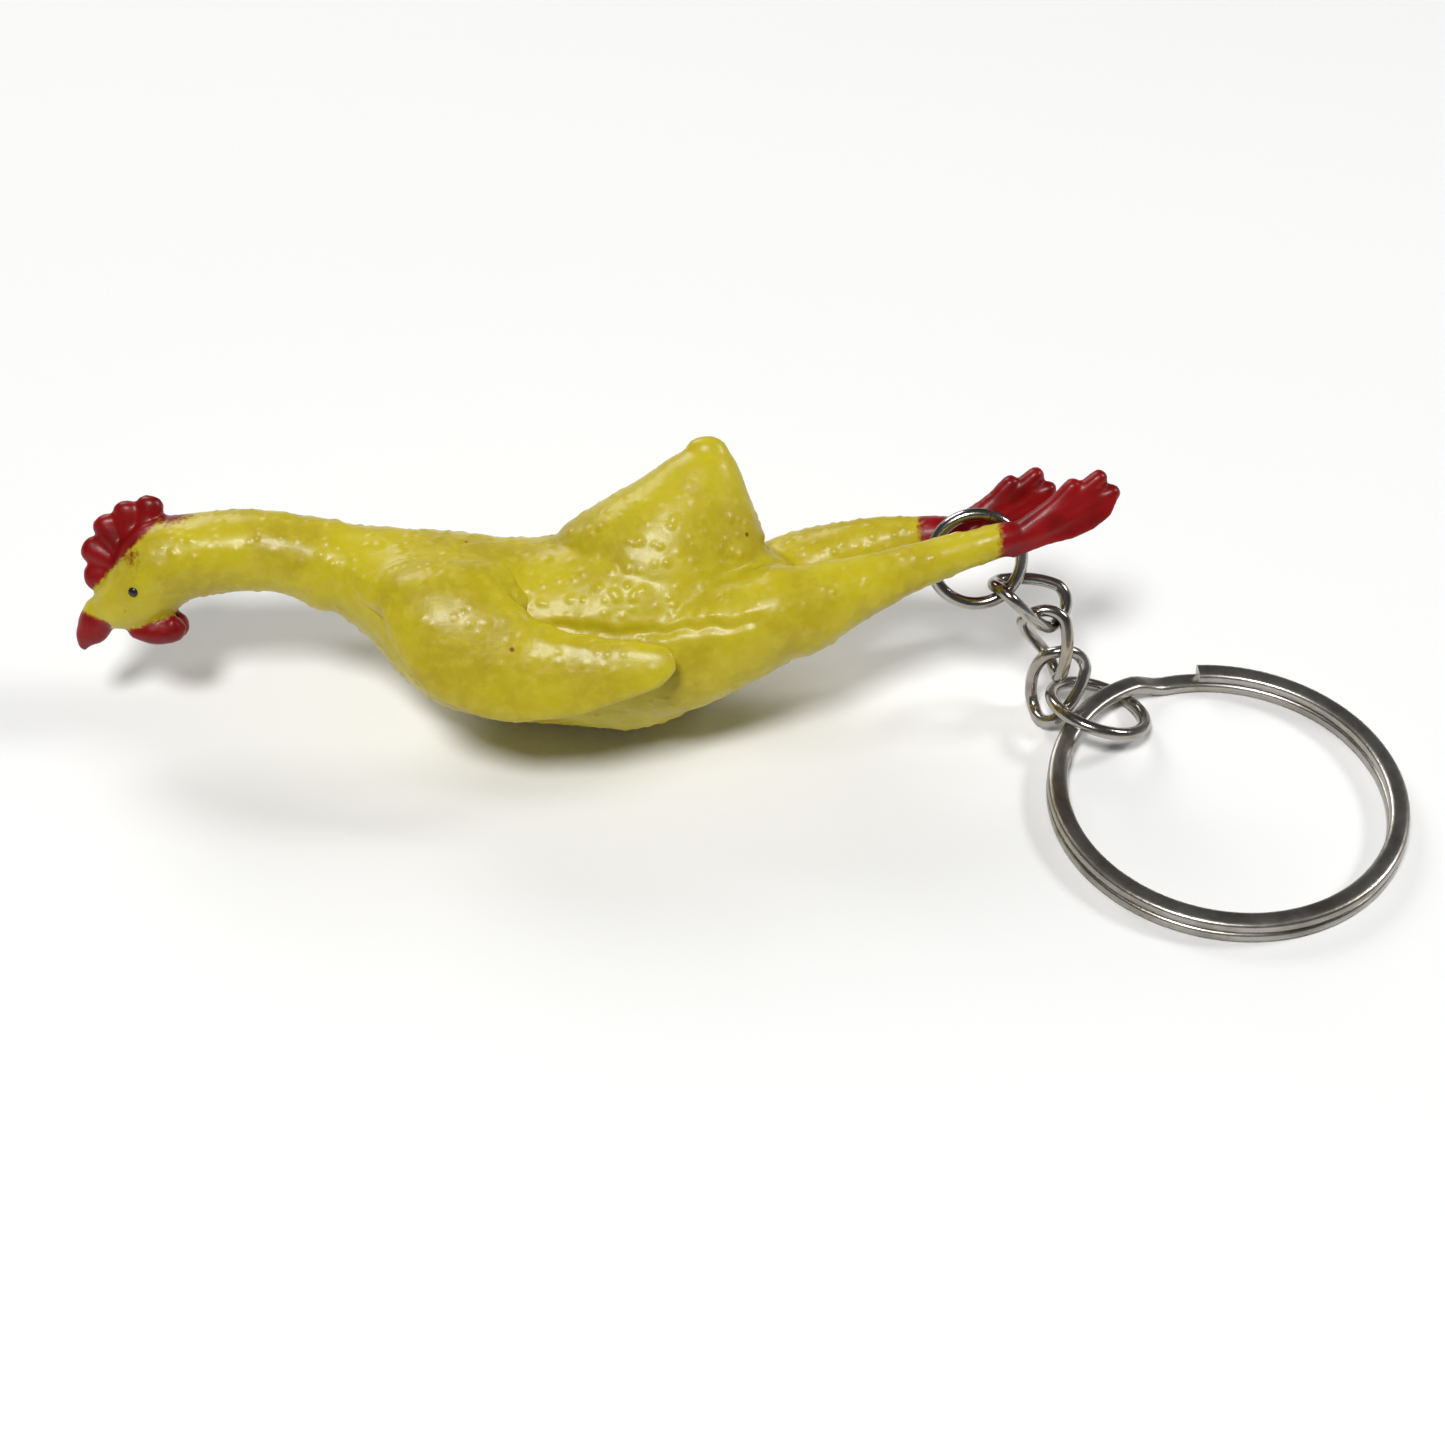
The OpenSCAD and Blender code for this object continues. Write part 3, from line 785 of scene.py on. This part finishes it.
def addNode(tree, kind, values=None, **settings):
    node = tree.nodes.new(kind)
    for key, value in settings.items():
        setattr(node, key, value)
    for key, value in (values or {}).items():
        node.inputs[key].default_value = value
    return node


def newGroup(name, inputs, outputs):
    group = bpy.data.node_groups.new(name, "ShaderNodeTree")
    for label, kind, value in inputs:
        socket = group.interface.new_socket(label, in_out="INPUT", socket_type=kind)
        socket.default_value = value
    for label, kind in outputs:
        group.interface.new_socket(label, in_out="OUTPUT", socket_type=kind)
    return group, group.nodes.new("NodeGroupInput"), group.nodes.new("NodeGroupOutput")


def mathNode(tree, operation, a, b):
    node = addNode(tree, "ShaderNodeMath", operation=operation)
    for socket, value in zip(node.inputs, (a, b)):
        if isinstance(value, (int, float)):
            socket.default_value = value
        else:
            tree.links.new(value, socket)
    return node.outputs[0]


def mixColours(tree, factor, a, b):
    node = addNode(tree, "ShaderNodeMix", data_type="RGBA")
    for socket, value in ((node.inputs[0], factor), (node.inputs[6], a), (node.inputs[7], b)):
        if isinstance(value, bpy.types.NodeSocket):
            tree.links.new(value, socket)
        else:
            socket.default_value = value
    return node.outputs[2]


def noiseOf(tree, place, scale, detail, rough=0.5):
    node = addNode(tree, "ShaderNodeTexNoise", {"Scale": scale, "Detail": detail, "Roughness": rough})
    tree.links.new(place, node.inputs["Vector"])
    return node.outputs["Fac"]


def rampOf(tree, value, low, high):
    ends = {"From Min": low, "From Max": high}
    node = addNode(tree, "ShaderNodeMapRange", ends, interpolation_type="SMOOTHSTEP")
    tree.links.new(value, node.inputs["Value"])
    return node.outputs[0]


def scaled(tree, value, amount):
    return mathNode(tree, "MULTIPLY", value, amount)


def newMaterial(name):
    material = bpy.data.materials.new(name)
    material.use_nodes = True
    return material, material.node_tree, material.node_tree.nodes["Principled BSDF"]


def addBump(tree, shader, height, strength, depth):
    bump = addNode(tree, "ShaderNodeBump", {"Strength": strength, "Distance": depth})
    tree.links.new(height, bump.inputs["Height"])
    tree.links.new(bump.outputs["Normal"], shader.inputs["Normal"])


rubber = {                       # each noise is its scale, detail and roughness, each ramp its two ends
    "yellow": (0.50, 0.41, 0.010, 1),
    "deep": (0.40, 0.31, 0.010, 1),
    "cream": (0.56, 0.48, 0.04, 1),
    "red": (0.24, 0.002, 0.003, 1),
    "redDeep": (0.14, 0.001, 0.001, 1),
    "blotch": (160, 3), "blotchRamp": (0.35, 0.7),
    "mottle": (900, 4, 0.6), "mottleRamp": (0.4, 0.75), "mottleAmount": 0.45,
    "spray": (2600, 3, 0.7), "sprayAmount": 0.9, "sprayRamp": (0.34, 0.80),
    "redTone": (420, 3), "redRamp": (0.35, 0.75),
    "fleckScale": 210, "fleckRamp": (0.055, 0.025), "fleckAmount": 0.8,
    "gloss": 0.27,
    "wet": (700, 4, 0.6), "wetAmount": 0.18,
    "grain": (1500, 3), "sprayGrain": 0.25,
    "bump": 0.30, "bumpDepth": 0.0001,
    "refraction": 1.5, "yellowShine": 0.30, "redShine": 0.26, "coat": 0.04, "coatRoughness": 0.12,
}


def skinGroup():                 # colour, gloss and fine relief of painted rubber
    group, inlet, outlet = newGroup(
        "paintedRubber",
        [("Yellow", "NodeSocketColor", rubber["yellow"]), ("Deep", "NodeSocketColor", rubber["deep"]),
         ("Cream", "NodeSocketColor", rubber["cream"]), ("Red", "NodeSocketColor", rubber["red"]),
         ("Red deep", "NodeSocketColor", rubber["redDeep"]), ("Gloss", "NodeSocketFloat", rubber["gloss"])],
        [("Color", "NodeSocketColor"), ("Roughness", "NodeSocketFloat"), ("Height", "NodeSocketFloat")])
    place = addNode(group, "ShaderNodeTexCoord").outputs["Object"]
    mask = addNode(group, "ShaderNodeAttribute", attribute_name="paint").outputs["Fac"]
    blotch = rampOf(group, noiseOf(group, place, *rubber["blotch"]), *rubber["blotchRamp"])
    mottle = rampOf(group, noiseOf(group, place, *rubber["mottle"]), *rubber["mottleRamp"])
    yellow = mixColours(group, blotch, inlet.outputs["Yellow"], inlet.outputs["Deep"])
    mottle = scaled(group, mottle, rubber["mottleAmount"])
    yellow = mixColours(group, mottle, yellow, inlet.outputs["Cream"])
    spray = noiseOf(group, place, *rubber["spray"])
    uneven = scaled(group, mathNode(group, "SUBTRACT", spray, 0.5), rubber["sprayAmount"])
    cover = rampOf(group, mathNode(group, "ADD", mask, uneven), *rubber["sprayRamp"])
    redTone = rampOf(group, noiseOf(group, place, *rubber["redTone"]), *rubber["redRamp"])
    red = mixColours(group, redTone, inlet.outputs["Red"], inlet.outputs["Red deep"])
    fleck = addNode(group, "ShaderNodeTexVoronoi", {"Scale": rubber["fleckScale"], "Randomness": 1})
    group.links.new(place, fleck.inputs["Vector"])
    speck = rampOf(group, fleck.outputs["Distance"], *rubber["fleckRamp"])
    speck = scaled(group, speck, rubber["fleckAmount"])
    yellow = mixColours(group, speck, yellow, inlet.outputs["Red deep"])
    group.links.new(mixColours(group, cover, yellow, red), outlet.inputs["Color"])
    wet = scaled(group, noiseOf(group, place, *rubber["wet"]), rubber["wetAmount"])
    group.links.new(mathNode(group, "ADD", inlet.outputs["Gloss"], wet), outlet.inputs["Roughness"])
    grain = noiseOf(group, place, *rubber["grain"])
    fine = mathNode(group, "ADD", grain, scaled(group, spray, rubber["sprayGrain"]))
    group.links.new(fine, outlet.inputs["Height"])
    return group


paintedRubber = skinGroup()


def rubberFinish(name, shine):
    material, tree, shader = newMaterial(name)
    skinNode = addNode(tree, "ShaderNodeGroup", node_tree=paintedRubber)
    skinNode.inputs["Gloss"].default_value = rubber["gloss"]
    tree.links.new(skinNode.outputs["Color"], shader.inputs["Base Color"])
    tree.links.new(skinNode.outputs["Roughness"], shader.inputs["Roughness"])
    addBump(tree, shader, skinNode.outputs["Height"], rubber["bump"], rubber["bumpDepth"])
    shader.inputs["IOR"].default_value = rubber["refraction"]
    shader.inputs["Specular IOR Level"].default_value = shine
    shader.inputs["Coat Weight"].default_value = rubber["coat"]
    shader.inputs["Coat Roughness"].default_value = rubber["coatRoughness"]
    return material


nickel = {                       # each noise is its scale, detail and roughness, each ramp its two ends
    "bright": (0.44, 0.42, 0.38, 1),
    "dark": (0.26, 0.24, 0.20, 1),
    "brass": (0.40, 0.31, 0.17, 1),
    "cloud": (260, 4, 0.6), "cloudRamp": (0.35, 0.75),
    "worn": (120, 3), "wornRamp": (0.6, 0.8), "wornAmount": 0.6,
    "smear": (900, 4, 0.65), "smearAmount": 0.16,
    "lines": (3000, 3), "linesDepth": 0.00005,
    "wireRough": 0.10, "wireLines": 0.2,
    "ringRough": 0.24, "ringLines": 0.35,
}


def nickelFinish(name, rough, lines):
    material, tree, shader = newMaterial(name)
    place = addNode(tree, "ShaderNodeTexCoord").outputs["Object"]
    cloud = rampOf(tree, noiseOf(tree, place, *nickel["cloud"]), *nickel["cloudRamp"])
    colour = mixColours(tree, cloud, nickel["bright"], nickel["dark"])
    worn = rampOf(tree, noiseOf(tree, place, *nickel["worn"]), *nickel["wornRamp"])
    colour = mixColours(tree, scaled(tree, worn, nickel["wornAmount"]), colour, nickel["brass"])
    tree.links.new(colour, shader.inputs["Base Color"])
    smear = scaled(tree, noiseOf(tree, place, *nickel["smear"]), nickel["smearAmount"])
    tree.links.new(mathNode(tree, "ADD", smear, rough), shader.inputs["Roughness"])
    addBump(tree, shader, noiseOf(tree, place, *nickel["lines"]), lines, nickel["linesDepth"])
    shader.inputs["Metallic"].default_value = 1.0
    return material


eyePaint = {
    "black": (0.006, 0.006, 0.006, 1), "brown": (0.02, 0.017, 0.012, 1),
    "cloud": (2500, 2),
    "gloss": 0.25,
}


def eyeFinish():
    material, tree, shader = newMaterial("blackEyePaint")
    place = addNode(tree, "ShaderNodeTexCoord").outputs["Object"]
    cloud = noiseOf(tree, place, *eyePaint["cloud"])
    tone = mixColours(tree, cloud, eyePaint["black"], eyePaint["brown"])
    tree.links.new(tone, shader.inputs["Base Color"])
    shader.inputs["Roughness"].default_value = eyePaint["gloss"]
    return material


yellowRubber = rubberFinish("yellowRubber", rubber["yellowShine"])
sprayedRed = rubberFinish("sprayedRed", rubber["redShine"])
nickelWire = nickelFinish("nickelWire", nickel["wireRough"], nickel["wireLines"])
nickelRing = nickelFinish("nickelRing", nickel["ringRough"], nickel["ringLines"])
blackPaint = eyeFinish()
print("finishes made")


def dress(piece, material, slot, *replaced):
    piece.data.materials.append(material)
    if replaced:
        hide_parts(*replaced)


yellowParts = {"torso": "torso", "neck": "neck", "head": "head", "leftWing": "left_wing",
               "rightWing": "right_wing", "leftLeg": "left_leg", "rightLeg": "right_leg"}
redParts = {"comb": "comb", "beak": "beak", "wattles": "wattles", "leftFoot": "left_foot",
            "rightFoot": "right_foot", "ankleWeb": "ankle_bridge"}
for part, node in yellowParts.items():
    dress(pieces[part], yellowRubber, "yellow_rubber", node)
for part, node in redParts.items():
    dress(pieces[part], sprayedRed, "red_paint", node)

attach(pieces["torso"], "torso")
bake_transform(pieces["neck"])
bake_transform(pieces["head"])
for part in ("comb", "beak", "wattles"):
    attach(pieces[part], "head")
for part in ("leftLeg", "rightLeg"):
    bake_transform(pieces[part])
for part in ("leftFoot", "rightFoot", "ankleWeb"):
    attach(pieces[part], "legs")
for part, body, wingSide in (("leftWing", "left_wing", left), ("rightWing", "right_wing", right)):
    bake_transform(pieces[part])
for part, node in (("leftEye", "left_eye"), ("rightEye", "right_eye")):
    dress(pieces[part], blackPaint, "black_paint", node)
    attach(pieces[part], "head")
for part, body in (("jumpRing", "jump_ring"), ("link1", "chain_link_1"), ("link2", "chain_link_2"),
                   ("link3", "chain_link_3"), ("endLoop", "end_loop")):
    dress(pieces[part], nickelWire, "nickel_wire", body)
    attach(pieces[part], body)
dress(pieces["splitRing"], nickelRing, "split_ring_nickel", "split_ring")
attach(pieces["splitRing"], "split_ring")
print("pieces follow their bodies")


paper = {"size": 4.0, "colour": (0.86, 0.86, 0.85, 1), "roughness": 0.9, "shine": 0.1}


def makeFloor():
    bm = bmesh.new()
    bmesh.ops.create_grid(bm, x_segments=1, y_segments=1, size=paper["size"] / 2)
    floor = newObject("paleFloor", bm)
    material, tree, shader = newMaterial("palePaper")
    shader.inputs["Base Color"].default_value = paper["colour"]
    shader.inputs["Roughness"].default_value = paper["roughness"]
    shader.inputs["Specular IOR Level"].default_value = paper["shine"]
    floor.data.materials.append(material)


air = {"bright": (0.55, 0.55, 0.57, 1), "dark": (0.16, 0.16, 0.17, 1), "ramp": (0.05, 0.45), "strength": 0.45}


def makeAir():                   # a grey room, paler at the horizon
    world = bpy.data.worlds.new("studioAir")
    world.use_nodes = True
    tree = world.node_tree
    spot = addNode(tree, "ShaderNodeSeparateXYZ")
    tree.links.new(addNode(tree, "ShaderNodeTexCoord").outputs["Generated"], spot.inputs[0])
    upHigh = rampOf(tree, spot.outputs["Z"], *air["ramp"])
    colour = mixColours(tree, upHigh, air["bright"], air["dark"])
    background = tree.nodes["Background"]
    tree.links.new(colour, background.inputs["Color"])
    background.inputs["Strength"].default_value = air["strength"]
    bpy.context.scene.world = world


softboxes = {                    # place in metres, size across and power
    "keySoftbox": ((-0.10, -0.28, 0.60), 0.16, 3.4),
    "sideSoftbox": ((0.50, 0.10, 0.42), 0.15, 1.4),
    "backSoftbox": ((-0.30, 0.50, 0.40), 0.35, 1.9),
}


def makeLights():
    for name, (place, size, power) in softboxes.items():
        light = bpy.data.lights.new(name, "AREA")
        light.shape = "DISK"
        light.size = size
        light.energy = power
        lamp = bpy.data.objects.new(name, light)
        lamp.location = place
        lamp.rotation_mode = "QUATERNION"
        lamp.rotation_quaternion = (-Vector(place)).to_track_quat("-Z", "Y")
        bpy.context.scene.collection.objects.link(lamp)


view = {                         # metres, degrees and, for the lens and the film, millimetres
    "back": 0.217, "elevation": 45.6, "lookAt": (-0.0015, 0.0066, 0.0),
    "lens": 62.3, "film": 36, "nearest": 0.01,
}


def makeCamera():
    lens = bpy.data.cameras.new("camera")
    lens.lens = view["lens"]
    lens.sensor_width = view["film"]
    lens.clip_start = view["nearest"]
    camera = bpy.data.objects.new("camera", lens)
    bpy.context.scene.collection.objects.link(camera)
    e = math.radians(view["elevation"])
    back = Vector((0, -math.cos(e), math.sin(e)))
    camera.location = Vector(view["lookAt"]) + back * view["back"]
    camera.rotation_mode = "QUATERNION"
    camera.rotation_quaternion = (-back).to_track_quat("-Z", "Y")
    bpy.context.scene.camera = camera


makeFloor()
makeAir()
makeLights()
makeCamera()
bpy.context.scene.view_settings.view_transform = "Standard"
